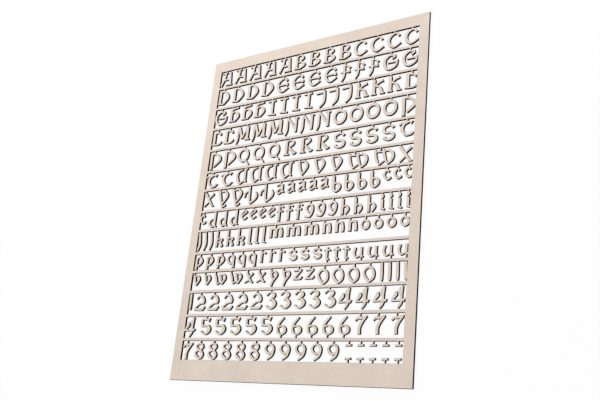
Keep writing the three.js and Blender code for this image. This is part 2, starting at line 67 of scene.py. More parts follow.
# Sizes of the looks, in millimetres.
KNIFE_CUT = 0.24  # cut at the end of a free letter's tab
TAB_BITE = 0.4  # length of tab inside a joined letter
SOFT_EDGE = 0.08  # softened and singed upper edge of the cut board
FLARE = 0.07  # the cut narrows downwards, so the underside of a piece is this much larger all round
FINEST = 0.004  # a corner nearer than this to a straight line is not kept
LEAST_RUN = 0.004  # an edge that runs sideways by less counts as upright
CROWDED = 0.1  # points of an outline stand at least this far apart
WELD = 0.00001  # corners nearer than this are one
CURVE_STEPS = 8  # steps between two knots of a stroke
OVAL_STEPS = 40  # steps round an oval stroke
NEAR_CROSSING = 0.4  # moved outlines that cross are moved less at points as near as this
SHARPEST = 0.4  # limits how far a sharp corner moves when its outline is moved
SHARP_ANGLE = math.radians(35)  # walls that turn by less are shaded as one curve

# Tints as they look on a screen, from 0 to 255.
BOARD_TINTS = ((225, 210, 196), (232, 218, 205))
SPECK_TINT = (178, 150, 122)
SINGED_TINTS = ((14, 7, 2), (24, 13, 6), (38, 24, 14))

# Shares of light, from 0 to 1.
WHITE = (1, 1, 1)
BLACK = (0, 0, 0)
FIBRE_SHADE = (0.93, 0.925, 0.92)
SPECK_SHARE = (0.3, 0.3, 0.3)

# Grain of the surfaces: the fineness of each noise, and how far it is pressed into the surface.
CLOUDS = 60
FIBRES_ALONG = 900
FIBRES_ACROSS = 1100
SPECKS = 2400
STREAKS = 2600
LAYERS = 700
BUMP_DEPTH = 0.00003  # in metres
FIBRE_BUMP = 0.5
STREAK_BUMP = 0.4

# Roughness and shine of the two surfaces.
BOARD_ROUGHNESS = 0.9
BOARD_SHINE = 0.2
WALL_ROUGHNESS = 0.85
WALL_SHINE = 0.0

# Numbers of the sockets of a Mix node: its share and two colours, and the mixed colour.
MIX_INPUTS = (0, 6, 7)
MIX_OUTPUT = 2

# The light: an even surround and one soft lamp over the sheet's upper left, places in metres.
SURROUND = 0.8
LAMP_PLACE = (-0.2, 0.4, 0.3)
LAMP_SIZE = 0.3
LAMP_WATTS = 1.1
FLOOR_HALF = 4.0
FLOOR_GAP = 0.0003
FLOOR_SHADE = (0.9, 0.9, 0.9, 1)
FLOOR_WHITE = 0.93  # share of plain white in the floor, the rest takes light and shadow

# The camera: its place over the middle of the sheet's face in millimetres, the directions of its
# picture's right and upper sides, its lens, and the shift of the picture's middle.
CAMERA_PLACE = (232.47, -133.65, 328.73)
CAMERA_RIGHT = (0.8372, 0.0930, -0.5390)
CAMERA_UP = (0.1045, 0.9401, 0.3245)
CAMERA_LENS = 46.0
CAMERA_SENSOR = 36.0
CAMERA_SHIFT = (-0.0109, -0.0181)
CAMERA_NEAR = 0.01

# Letters are drawn in units with CAP_UNITS units to a capital's height.
CAP_UNITS = 87
UNIT = CAP_HEIGHT / CAP_UNITS


def pen(*knots):
    """A stroke through knots of [x, depth below the rail, stroke width]."""
    return {"knots": knots}


def ring(x, depth, half_width, half_depth, thin, thick):
    """An oval stroke: middle, half width, half depth, thickness at the top and at the sides."""
    return {"middle": (x, depth), "half": (half_width, half_depth), "thickness": (thick, thin)}


def letter(pitch, tab, nudge, *strokes, stands=False):
    """Width of a letter's cell, place of its tab, step sideways in the cell, and strokes."""
    return {"pitch": pitch, "tab": tab, "nudge": nudge, "strokes": strokes, "stands": stands}


def standing(*values):
    """A letter held by the rail below it."""
    return letter(*values, stands=True)


LETTERS = {
    # capitals
    "A": letter(113, -8, -6,
        pen([-41, 15, 8], [2, 13, 8]),
        pen([-15, 13, 16], [-18, 49, 16], [-42, 102, 14]),
        pen([-17, 61, 10], [25, 61, 10]),
        pen([23, 11, 18], [31, 101, 19]),
        pen([-5, 99, 8], [45, 99, 8])),
    "B": letter(103, -1, -7,
        pen([-27, 15, 19], [-27, 97, 19]),
        pen([-28, 16, 10], [0, 11, 10], [18, 30, 16], [-8, 54, 8]),
        pen([-24, 57, 8], [4, 55, 10], [26, 77, 20], [-2, 99, 10]),
        pen([-42, 96, 8], [0, 99, 9])),
    "C": letter(106, -5, -5,
        pen([20, 22, 10], [-3, 13, 11], [-32, 29, 16], [-41, 58, 18],
            [-29, 85, 17], [-3, 97, 12], [34, 77, 12]),
        pen([13, 18, 14], [24, 33, 14])),
    "D": letter(113, -7, -6,
        pen([-31, 16, 20], [-31, 101, 20]),
        pen([-32, 15, 10], [4, 21, 13], [31, 62, 19], [0, 104, 11]),
        pen([-46, 101, 8], [0, 104, 11])),
    "E": letter(112, -5, -3,
        pen([19, 26, 10], [-4, 18, 11], [-32, 33, 15], [-41, 60, 17],
            [-30, 90, 16], [-5, 103, 11], [34, 83, 11]),
        pen([14, 21, 14], [24, 36, 14]),
        pen([-40, 60, 9], [22, 60, 9]),
        pen([23, 52, 14], [27, 69, 14])),
    "F": letter(90, -9, -7,
        pen([-16, 12, 16], [-14, 59, 16], [-15, 89, 15], [-28, 118, 8]),
        pen([-16, 15, 8], [14, 31, 8]),
        pen([14, 29, 14], [25, 42, 14]),
        pen([-35, 61, 8], [13, 65, 8]),
        pen([14, 54, 14], [20, 70, 14])),
    "G": letter(117, -4, -6,
        pen([8, 22, 10], [-10, 19, 11], [-36, 37, 16], [-42, 63, 17],
            [-32, 91, 16], [-6, 104, 12], [28, 87, 15], [38, 52, 10]),
        pen([4, 43, 9], [24, 26, 16]),
        pen([4, 19, 10], [24, 26, 13]),
        pen([-22, 63, 10], [34, 62, 10])),
    "H": letter(97, -20, -10,
        pen([-26, 11, 18], [-26, 99, 18]),
        pen([-27, 16, 11], [26, 10, 11]),
        pen([-22, 42, 8], [4, 36, 10], [26, 65, 20], [1, 101, 10]),
        pen([-42, 97, 8], [-3, 98, 8])),
    "I": letter(86, -5, -10,
        pen([-2, 15, 17], [-2, 102, 17]),
        pen([-34, 15, 9], [20, 14, 11]),
        pen([-28, 101, 8], [25, 105, 10])),
    "J": letter(86, 10, -10,
        pen([16, 12, 16], [19, 55, 17], [14, 89, 16], [-11, 117, 8]),
        pen([-36, 26, 10], [14, 23, 10])),
    "K": letter(100, -25, -10,
        pen([-26, 12, 19], [-25, 101, 19]),
        pen([-20, 52, 8], [4, 33, 11], [30, 22, 14]),
        pen([-14, 51, 8], [10, 62, 15], [27, 100, 18]),
        pen([-42, 100, 8], [-10, 100, 8]),
        pen([12, 100, 8], [42, 100, 8])),
    "L": letter(93, -4, 0,
        pen([-28, 15, 20], [-28, 99, 20]),
        pen([-28, 18, 10], [10, 24, 9]),
        pen([9, 23, 14], [21, 37, 14]),
        pen([-45, 98, 8], [6, 99, 11], [30, 83, 13])),
    "M": letter(121, 24, -3,
        pen([-42, 12, 10], [-43, 57, 15], [-43, 91, 15], [-52, 118, 8]),
        pen([-35, 11, 19], [-8, 87, 16]),
        pen([-7, 86, 11], [25, 13, 14]),
        pen([30, 11, 19], [30, 100, 19]),
        pen([13, 96, 8], [49, 98, 8])),
    "N": letter(108, -37, 1,
        pen([-40, 11, 10], [-41, 57, 15], [-42, 91, 15], [-51, 118, 8]),
        pen([-36, 12, 12], [19, 85, 17]),
        pen([20, 13, 15], [20, 104, 15]),
        pen([7, 14, 8], [35, 16, 8])),
    "O": letter(104, -5, 0,
        ring(-7, 58, 35, 38, 18, 16)),
    "P": letter(111, -13, -2,
        pen([-34, 15, 19], [-33, 121, 18]),
        pen([-33, 17, 10], [4, 23, 13], [31, 58, 20], [-14, 103, 12])),
    "Q": letter(111, -6, -3,
        ring(-9, 56, 34, 37, 16, 15),
        pen([6, 90, 12], [20, 105, 10], [36, 121, 7])),
    "R": letter(111, -2, -7,
        pen([-27, 13, 19], [-26, 98, 19]),
        pen([-26, 15, 10], [5, 12, 9], [20, 30, 17], [-8, 57, 8]),
        pen([-9, 54, 9], [6, 73, 17], [27, 97, 16]),
        pen([25, 98, 11], [41, 89, 10]),
        pen([-43, 97, 8], [-6, 98, 8])),
    "S": letter(101, -1, -3,
        pen([18, 29, 10], [-2, 19, 9], [-30, 29, 14], [-33, 47, 17], [-22, 59, 13],
            [6, 61, 14], [23, 74, 18], [20, 93, 15], [-6, 102, 12], [-34, 90, 12]),
        pen([14, 22, 13], [24, 34, 17]),
        pen([-36, 87, 9], [-19, 88, 9])),
    "T": letter(113, -3, -5,
        pen([2, 20, 9], [-22, 30, 16], [-30, 60, 18], [-9, 89, 14], [24, 88, 12]),
        pen([22, 76, 9], [32, 87, 28]),
        pen([-46, 24, 10], [-16, 18, 10], [22, 18, 10]),
        pen([14, 16, 9], [27, 24, 20]),
        pen([-45, 22, 9], [-44, 33, 9])),
    "U": letter(107, 20, -1,
        pen([-2, 9, 9], [-18, 12, 11], [-33, 22, 14], [-40, 44, 17],
            [-33, 72, 18], [-18, 91, 13], [4, 84, 9], [14, 79, 8]),
        pen([18, 4, 17], [18, 84, 17]),
        pen([18, 81, 12], [31, 86, 11]),
        pen([15, 8, 8], [38, 8, 8])),
    "V": letter(109, -33, 0,
        pen([-33, 4, 15], [-26, 42, 16], [-6, 92, 11]),
        pen([4, 8, 10], [24, 37, 17], [15, 64, 15], [-8, 93, 9]),
        pen([-30, 13, 7], [10, 12, 7])),
    "W": letter(157, -22, -2,
        pen([-54, 10, 13], [-49, 47, 15], [-40, 75, 14], [-27, 96, 9]),
        pen([-4, 11, 14], [3, 50, 16], [12, 77, 13], [24, 95, 9]),
        pen([-28, 95, 9], [8, 72, 8]),
        pen([22, 14, 10], [48, 34, 16], [53, 56, 17], [44, 78, 15], [21, 96, 9]),
        pen([-50, 21, 8], [-5, 23, 8]),
        pen([-2, 22, 8], [36, 20, 8])),
    "X": letter(109, -35, -7,
        pen([-34, 13, 17], [-8, 50, 16], [22, 94, 14]),
        pen([29, 19, 14], [-4, 48, 10]),
        pen([2, 62, 10], [-10, 73, 10], [-36, 96, 10]),
        pen([18, 92, 12], [34, 97, 10])),
    "Y": letter(103, -33, -6,
        pen([-35, 4, 16], [-26, 42, 18], [-8, 93, 11]),
        pen([8, 8, 10], [27, 37, 18], [15, 67, 15], [-10, 96, 10]),
        pen([-32, 16, 7], [14, 14, 7]),
        pen([-12, 94, 13], [-3, 109, 13], [23, 101, 11])),
    "Z": letter(114, -11, -13,
        pen([-45, 68, 12], [-44, 48, 13], [-30, 34, 12], [-10, 29, 10]),
        pen([-13, 4, 15], [-10, 76, 15], [-3, 110, 11]),
        pen([-5, 110, 11], [29, 86, 16], [41, 64, 15], [33, 42, 8])),
    # small letters
    "a": letter(73, -5, -12,
        pen([-28, 23, 10], [-11, 15, 10], [8, 18, 10]),
        pen([9, 17, 16], [9, 63, 16]),
        pen([5, 36, 8], [-14, 46, 11], [-24, 60, 12], [-14, 70, 11], [6, 61, 8]),
        pen([10, 61, 10], [24, 63, 9])),
    "b": letter(78, -22, -12,
        pen([-20, 9, 18], [-19, 79, 18], [-3, 100, 11]),
        pen([-16, 55, 8], [3, 49, 11], [20, 67, 17], [16, 86, 15], [-4, 101, 10])),
    "c": letter(61, -5, -6,
        pen([3, 19, 9], [-8, 15, 10], [-23, 39, 14], [-4, 66, 11], [18, 56, 10]),
        pen([-2, 15, 12], [6, 25, 12])),
    "d": letter(80, 11, -3,
        pen([13, 3, 17], [13, 91, 17]),
        pen([8, 42, 8], [-15, 49, 10], [-26, 66, 15], [-20, 82, 15], [-6, 92, 10], [12, 86, 8]),
        pen([13, 88, 10], [28, 92, 9])),
    "e": letter(64, -3, -5,
        pen([0, 12, 9], [-22, 37, 14], [-4, 65, 10], [20, 55, 10]),
        pen([-3, 12, 9], [11, 16, 10], [18, 24, 11]),
        pen([19, 22, 11], [-18, 46, 8])),
    "f": letter(63, -7, -8,
        pen([-7, 10, 16], [-7, 98, 16]),
        pen([-8, 12, 9], [11, 14, 9]),
        pen([9, 12, 11], [20, 20, 11]),
        pen([-25, 41, 7], [10, 40, 8]),
        pen([8, 36, 11], [16, 45, 11])),
    "g": letter(74, 0, -7,
        pen([0, 16, 11], [-22, 38, 14], [-6, 63, 10], [14, 56, 8]),
        pen([-2, 16, 11], [16, 31, 15], [16, 62, 17], [2, 89, 11], [-28, 85, 10])),
    "h": letter(79, -21, -7,
        pen([-18, 9, 16], [-18, 98, 16]),
        pen([-14, 57, 7], [4, 49, 10], [17, 70, 16], [2, 97, 9])),
    "i": letter(49, -5, -7,
        pen([-8, 9, 12], [-2, 19, 15], [-11, 38, 5]),
        pen([-4, 37, 15], [-4, 90, 15]),
        pen([-4, 88, 9], [12, 91, 9])),
    "j": letter(44, -2, -5,
        pen([-6, 6, 16], [-1, 25, 16], [-1, 39, 13]),
        pen([0, 35, 17], [3, 78, 17], [-8, 115, 9])),
    "k": letter(79, -20, -5,
        pen([-18, 5, 16], [-18, 99, 16]),
        pen([-14, 57, 7], [4, 49, 10], [18, 55, 14], [12, 66, 12], [-6, 72, 8]),
        pen([-6, 68, 8], [12, 80, 15], [22, 99, 17])),
    "l": letter(49, -11, -2,
        pen([-7, 4, 17], [-7, 94, 17]),
        pen([-7, 92, 10], [11, 95, 9])),
    "m": letter(116, -7, -7,
        pen([-36, 14, 18], [-36, 72, 18]),
        pen([1, 22, 19], [1, 72, 19]),
        pen([32, 20, 15], [37, 46, 18], [36, 72, 18]),
        pen([-34, 21, 13], [-16, 20, 13], [2, 24, 11]),
        pen([3, 25, 10], [18, 19, 13], [33, 22, 13])),
    "n": letter(79, -20, -6,
        pen([-19, 15, 18], [-19, 73, 18]),
        pen([13, 20, 15], [18, 47, 17], [17, 73, 17]),
        pen([-18, 21, 13], [-3, 19, 13], [14, 22, 13])),
    "o": letter(75, -2, -8,
        pen([0, 20, 11], [-15, 25, 11], [-23, 41, 11], [-18, 57, 12], [0, 68, 12]),
        pen([-4, 20, 11], [10, 27, 13], [18, 43, 15], [12, 59, 16], [-3, 68, 12])),
    "p": letter(80, 1, -1,
        pen([-22, 17, 16], [-22, 91, 16]),
        pen([-19, 27, 8], [0, 17, 10], [16, 41, 17], [-6, 69, 10]),
        pen([-20, 64, 9], [-2, 69, 10])),
    "q": letter(75, 0, -5,
        pen([16, 25, 15], [16, 91, 16]),
        pen([-2, 16, 11], [16, 29, 14]),
        pen([4, 18, 10], [-16, 22, 10], [-26, 40, 13], [-18, 57, 14], [-3, 66, 11], [14, 58, 8])),
    "r": letter(63, -3, -11,
        pen([-3, 17, 15], [-3, 73, 15]),
        pen([-3, 20, 9], [15, 17, 9]),
        pen([14, 15, 11], [25, 23, 11])),
    "s": letter(77, 0, 0,
        pen([12, 23, 9], [-2, 17, 10], [-21, 24, 13], [-19, 37, 14],
            [15, 49, 14], [16, 62, 13], [-4, 69, 10], [-24, 59, 10]),
        pen([10, 20, 11], [19, 27, 11])),
    "t": standing(57, -4, -2,
        pen([-2, 12, 9], [-7, 31, 14], [-7, 77, 14]),
        pen([-25, 28, 8], [7, 28, 9]),
        pen([5, 26, 11], [14, 33, 11]),
        pen([-7, 75, 11], [8, 79, 10])),
    "u": standing(84, 23, -12,
        pen([-12, 25, 14], [-18, 55, 14], [-6, 77, 11], [16, 70, 8]),
        pen([23, 25, 15], [23, 74, 15]),
        pen([23, 72, 11], [36, 76, 10])),
    "v": letter(79, -33, 6,
        pen([-30, 10, 11], [-21, 39, 15], [-11, 72, 10]),
        pen([-22, 24, 7], [-4, 17, 10], [10, 38, 15], [-10, 73, 9])),
    "w": letter(113, -41, -2,
        pen([-42, 10, 11], [-31, 39, 16], [-20, 73, 9]),
        pen([-7, 15, 11], [2, 39, 16], [13, 73, 9]),
        pen([-21, 73, 9], [8, 57, 8]),
        pen([1, 25, 7], [20, 17, 10], [34, 38, 15], [14, 73, 9])),
    "x": letter(82, -17, -5,
        pen([-22, 11, 13], [-6, 42, 14], [11, 67, 14]),
        pen([20, 19, 13], [-4, 44, 9]),
        pen([4, 51, 9], [-8, 59, 9], [-33, 71, 9]),
        pen([10, 68, 11], [24, 71, 9])),
    "y": letter(82, -25, -3,
        pen([-24, 10, 11], [-17, 39, 15], [-6, 65, 9]),
        pen([-17, 24, 7], [2, 17, 10], [17, 37, 15], [-6, 70, 13], [-18, 98, 13])),
    "z": letter(76, -1, -8,
        pen([-28, 20, 10], [20, 15, 9]),
        pen([19, 16, 11], [-26, 66, 11]),
        pen([-30, 65, 10], [16, 65, 10]),
        pen([14, 65, 11], [25, 53, 10])),
    # figures and the hyphen
    "0": letter(90, 1, -8,
        pen([4, 20, 13], [-18, 27, 12], [-31, 46, 12], [-26, 68, 15], [-10, 88, 15], [4, 96, 10]),
        pen([-2, 20, 13], [18, 35, 14], [25, 56, 15], [20, 79, 16], [0, 97, 10])),
    "1": letter(44, -2, -6,
        pen([-2, 4, 16], [0, 83, 16], [-3, 95, 9])),
    "2": letter(100, -2, -8,
        pen([-27, 35, 14], [-12, 20, 10], [12, 22, 14], [27, 46, 17], [20, 65, 15]),
        pen([21, 61, 9], [0, 64, 10], [-25, 81, 10], [-36, 97, 9]),
        pen([-38, 97, 10], [-5, 95, 16], [24, 98, 12]),
        pen([22, 98, 13], [37, 81, 11])),
    "3": letter(92, -6, -8,
        pen([-31, 28, 12], [-11, 14, 9], [11, 18, 13], [19, 31, 18], [2, 48, 10]),
        pen([-8, 53, 10], [15, 54, 11]),
        pen([12, 51, 12], [26, 73, 23], [18, 91, 17], [-2, 100, 10], [-28, 87, 11])),
    "4": letter(99, 13, -9,
        pen([18, 5, 13], [13, 47, 15], [13, 86, 15], [-4, 115, 9]),
        pen([14, 12, 8], [3, 28, 13], [8, 46, 8]),
        pen([-17, 32, 8], [-17, 46, 20], [-28, 64, 14], [-38, 77, 9]),
        pen([-40, 78, 9], [30, 76, 9]),
        pen([22, 71, 9], [33, 77, 19])),
    "5": letter(105, -4, 3,
        pen([-37, 17, 10], [17, 15, 10]),
        pen([6, 14, 9], [22, 21, 24]),
        pen([-33, 18, 16], [-32, 40, 16], [-24, 56, 13]),
        pen([-36, 54, 9], [-8, 53, 11], [16, 52, 12]),
        pen([13, 50, 15], [23, 70, 25], [17, 87, 19], [-4, 99, 10], [-34, 84, 11])),
    "6": standing(95, -6, 2,
        pen([7, 14, 9], [-21, 43, 14], [-30, 68, 13], [-25, 91, 15]),
        pen([-29, 91, 12], [-6, 102, 10]),
        pen([-24, 63, 9], [-2, 58, 10], [18, 73, 17], [16, 91, 15], [-6, 104, 10])),
    "7": letter(100, -5, -9,
        pen([-31, 36, 9], [-18, 24, 12], [5, 22, 13], [34, 15, 9]),
        pen([31, 15, 10], [5, 47, 15], [-6, 74, 16], [-5, 103, 16])),
    "8": letter(96, -2, -14,
        pen([4, 17, 9], [-18, 20, 9], [-28, 32, 11], [-14, 47, 14],
            [7, 57, 14], [20, 76, 16], [10, 94, 13], [-6, 98, 10]),
        pen([0, 17, 9], [13, 22, 12], [17, 35, 14], [4, 50, 10],
            [-20, 57, 9], [-31, 69, 11], [-22, 86, 17], [0, 98, 11])),
    "9": letter(97, -5, -15,
        pen([0, 16, 10], [-20, 22, 10], [-30, 40, 13], [-20, 58, 14], [-2, 65, 11], [13, 57, 8]),
        pen([-2, 16, 10], [17, 29, 14], [22, 48, 15], [12, 75, 15], [-15, 98, 8])),
    "-": letter(68, -3, -10,
        pen([-20, 21, 10], [14, 20, 10])),
}

# The rows from the top: the letters of each, and the depth of its window in units.
ROWS = {
    "AAAAABBBBCCCC": 113,
    "DDDDEEEEFFFGG": 126,
    "GHHHIIIIJJJKKKL": 125,
    "LLMMMNNNOOOOP": 128,
    "PPQQQRRRSSSST": 128,
    "TTUUUUVVVWWX": 103,
    "XYYZZaaaaabbbbccc": 122,
    "cdddeeeefffggghhhiiii": 105,
    "jjjkkklllmmmnnnoooo": 123,
    "pppqqqrrrssstttuuuu": 96,
    "vvwwxxyyzz00001111": 104,
    "122222333334444": 122,
    "45555566666777": 121,
    "78888899999-----": 106,
}

# The narrowest characters have no free copy.
ALWAYS_JOINED = "ijl-"


def smooth_path(knots):
    """Points along a stroke: straight between two knots, a smooth curve through more."""
    points = [Vector(knot) for knot in knots]
    if len(points) == 2:
        return points
    padded = [2 * points[0] - points[1], *points, 2 * points[-1] - points[-2]]
    path = []
    for a, b, c, d in zip(padded, padded[1:], padded[2:], padded[3:]):
        for step in range(CURVE_STEPS):
            t = step / CURVE_STEPS
            pull = (c - a) * t + (2 * a - 5 * b + 4 * c - d) * t**2 + (3 * b - a - 3 * c + d) * t**3
            path.append(b + pull / 2)
    return [*path, points[-1]]


def pen_sides(knots):
    """Pairs of points on the two sides of a pen stroke."""
    path = smooth_path(knots)
    sides = []
    for i, point in enumerate(path):
        ahead = path[min(i + 1, len(path) - 1)]
        behind = path[max(i - 1, 0)]
        across = Vector((behind.y - ahead.y, ahead.x - behind.x)).normalized() * point.z / 2
        sides.append((point.xy + across, point.xy - across))
    return sides


def ring_sides(middle, half, thickness):
    """Pairs of points on the outer and the inner side of an oval stroke."""
    sides = []
    for i in range(OVAL_STEPS + 1):
        angle = 2 * math.pi * i / OVAL_STEPS
        direction = Vector((math.cos(angle), math.sin(angle)))
        outer = Vector(direction * (Vector(half) + Vector(thickness) / 2))
        inner = Vector(direction * (Vector(half) - Vector(thickness) / 2))
        sides.append((Vector(middle) + outer, Vector(middle) + inner))
    return sides


def stroke_patches(stroke):
    """A stroke as a strip of three-sided patches."""
    sides = pen_sides(**stroke) if "knots" in stroke else ring_sides(**stroke)
    strip = []
    for (left, right), (next_left, next_right) in zip(sides, sides[1:]):
        strip += [(left, right, next_right), (left, next_right, next_left)]
    return strip


def patches(name):
    """All patches of a letter in millimetres, with y upwards from the rail that it hangs from."""
    found = [patch for stroke in LETTERS[name]["strokes"] for patch in stroke_patches(stroke)]
    return [[Vector((p.x, -p.y)) * UNIT for p in patch] for patch in found]


PATCHES = {name: patches(name) for name in LETTERS}


def extent(name, start=-math.inf, end=math.inf):
    """Highest and lowest y that a letter has between two places across it."""
    found = []
    for patch in PATCHES[name]:
        for a, b in zip(patch, patch[1:] + patch[:1]):
            left, right = sorted((a, b), key=lambda p: p.x)
            if right.x < start or left.x > end:
                continue
            for x in (max(left.x, start), min(right.x, end)):
                share = (x - left.x) / max(right.x - left.x, LEAST_RUN)
                found.append(left.y + (right.y - left.y) * min(share, 1))
    return max(found), min(found)


def rectangle(x0, y0, x1, y1):
    return [Vector(corner) for corner in ((x0, y0), (x1, y0), (x1, y1), (x0, y1))]


# Sizes that follow from the rows: the widest row sets the width of every window.
row_pitch = {row: sum(LETTERS[name]["pitch"] for name in row) * UNIT for row in ROWS}
row_depth = {row: depth * UNIT for row, depth in ROWS.items()}
full_row = max(row_pitch.values())
window_width = full_row - END_BLANK
sheet_width = window_width + 2 * SIDE_BORDER
sheet_height = TOP_BORDER + sum(row_depth.values()) + RAIL * (len(ROWS) - 1) + BOTTOM_BORDER


def lay_out():
    """Every letter on the sheet: its row, where it hangs, and how far down the rail under it is."""
    places = []
    y = sheet_height / 2 - TOP_BORDER
    for row in ROWS:
        x = -window_width / 2
        for i, name in enumerate(row):
            drawing = LETTERS[name]
            cell = drawing["pitch"] * UNIT * full_row / row_pitch[row]
            place = {"name": name, "row": row, "depth": row_depth[row], "stands": drawing["stands"]}
            place["at"] = Vector((x + cell / 2 + drawing["nudge"] * UNIT, y))
            place["ends_row"] = i == len(row) - 1
            places.append(place)
            if name == "-":
                places.append(standing_twin(place))
            x += cell
        y -= row_depth[row] + RAIL
    return places


def standing_twin(place):
    """A second hyphen under the first, as far above the bottom border as that one is below the rail."""
    top, bottom = extent(place["name"])
    drop = place["depth"] + top + bottom
    at = place["at"] - Vector((0, drop))
    return {**place, "at": at, "depth": place["depth"] - drop, "stands": True}


def free_places(places):
    """The free copy of a character: its second one that does not end a row, or else its only one."""
    free = {}
    for name in LETTERS:
        copies = [place for place in places if place["name"] == name and not place["ends_row"]]
        if name not in ALWAYS_JOINED:
            free[name] = copies[min(1, len(copies) - 1)]
    return free


def letter_patches(place):
    """The patches of a letter, moved to its place on the sheet."""
    return [[corner + place["at"] for corner in patch] for patch in PATCHES[place["name"]]]


def tab_patch(place, is_free):
    """The tab of a letter: rooted in its rail, biting into a joined letter, cut at a free one."""
    middle = LETTERS[place["name"]]["tab"] * UNIT
    left, right = middle - TAB / 2, middle + TAB / 2
    top, bottom = extent(place["name"], left, right)
    reach = -KNIFE_CUT if is_free else TAB_BITE
    if place["stands"]:
        patch = rectangle(left, -place["depth"] - RAIL / 2, right, bottom + reach)
    else:
        patch = rectangle(left, top - reach, right, RAIL / 2)
    return [corner + place["at"] for corner in patch]


def triangulate(points, faces):
    """Triangles over flat faces with anticlockwise corners, and the faces that each one lies in."""
    found, _, cells, origins, _, sources = delaunay_2d_cdt(points, [], faces, 0, WELD)
    return found, cells, origins, sources


def area(loop):
    """The area inside a loop, negative where it runs clockwise."""
    return sum(a.cross(b) for a, b in zip(loop, loop[1:] + loop[:1])) / 2


def numbered(loops):
    """All points of some loops in one list, and each loop as numbers in that list."""
    points = [point for loop in loops for point in loop]
    starts = [sum(len(loop) for loop in loops[:i]) for i in range(len(loops))]
    return points, [list(range(start, start + len(loop))) for start, loop in zip(starts, loops)]


def anticlockwise(loop, numbers):
    return numbers if area(loop) > 0 else numbers[::-1]


def outlines(polygons):
    """Loops round the area that overlapping polygons cover, with the board on their left."""
    corners, numbers = numbered(polygons)
    faces = [anticlockwise(*pair) for pair in zip(polygons, numbers)]
    points, cells, _, sources = triangulate(corners, faces)
    covered = [cell for cell, source in zip(cells, sources) if source]
    edges = {(cell[i - 1], cell[i]) for cell in covered for i in range(3)}
    following = {a: b for a, b in edges if (b, a) not in edges}
    loops = []
    while following:
        vertex = min(following)
        loop = []
        while vertex in following:
            loop.append(points[vertex])
            vertex = following.pop(vertex)
        loops.append(tidy(loop))
    return loops


def tidy(loop):
    """The loop without points that crowd the one before, or that lie in line with their neighbours."""
    spaced = []
    for point in loop:
        if not spaced or (point - spaced[-1]).length > CROWDED:
            spaced.append(point)
    kept = []
    for i, point in enumerate(spaced):
        before = kept[-1] if kept else spaced[-1]
        line = spaced[(i + 1) % len(spaced)] - before
        if abs(line.normalized().cross(point - before)) > FINEST:
            kept.append(point)
    return kept


def moved_in(loop, distances):
    """The loop with each point moved into the board by its distance, or by less beside a short edge.

    A negative distance moves the point outwards.
    """
    moved = []
    for i, (point, distance) in enumerate(zip(loop, distances)):
        arriving = point - loop[i - 1]
        leaving = loop[(i + 1) % len(loop)] - point
        step = math.copysign(min(abs(distance), arriving.length / 2, leaving.length / 2), distance)
        arriving.normalize()
        leaving.normalize()
        side = arriving.orthogonal() + leaving.orthogonal()
        moved.append(point + side * step / max(1 + arriving.dot(leaving), SHARPEST))
    return moved


def flat_face(loops):
    """The points of the loops moved in by the softened edge, and the triangles between them.

    Where the moved loops would cross, their points are moved by less.
    """
    distances = [[SOFT_EDGE] * len(loop) for loop in loops]
    while True:
        inner = [moved_in(loop, row) for loop, row in zip(loops, distances)]
        flat, rings = numbered(inner)
        faces = [anticlockwise(*pair) for pair in zip(inner, rings)]
        found, cells, origins, sources = triangulate(flat, faces)
        crossings = [point for point, origin in zip(found, origins) if not origin]
        if not crossings:
            break
        for loop, row in zip(loops, distances):
            for i, point in enumerate(loop):
                if min((point - crossing).length for crossing in crossings) < NEAR_CROSSING:
                    row[i] /= 2
    solid = [cell for cell, source in zip(cells, sources) if len(source) == 1]
    return flat, rings, [[origins[vertex][0] for vertex in cell] for cell in solid]


# Places of the two materials in a piece's list.
FACE, WALL = 0, 1


def board_piece(name, loops, materials):
    """A piece of board with these outlines: flat faces, a softened upper edge, and walls below it."""
    flat, rings, top = flat_face(loops)
    full, _ = numbered(loops)
    wide, _ = numbered([moved_in(loop, [-FLARE] * len(loop)) for loop in loops])
    count = len(flat)
    edges = [(a, b) for ring in rings for a, b in zip(ring, ring[1:] + ring[:1])]
    layers = ((flat, BOARD), (full, BOARD - SOFT_EDGE), (wide, 0))
    points = [(p.x * MM, p.y * MM, z * MM) for layer, z in layers for p in layer]
    faces = [*top, *([n + 2 * count for n in reversed(cell)] for cell in top)]
    kinds = [FACE] * len(faces)
    for above in (0, count):
        below = above + count
        faces += [(above + a, below + a, below + b, above + b) for a, b in edges]
        kinds += [WALL] * len(edges)
    mesh = bpy.data.meshes.new(name)
    mesh.from_pydata(points, [], faces)
    mesh.polygons.foreach_set("material_index", kinds)
    mesh.shade_smooth()
    mesh.set_sharp_from_angle(angle=SHARP_ANGLE)
    for material in materials:
        mesh.materials.append(material)
    mesh.update()
    piece = bpy.data.objects.new(name, mesh)
    bpy.context.collection.objects.link(piece)
    return piece


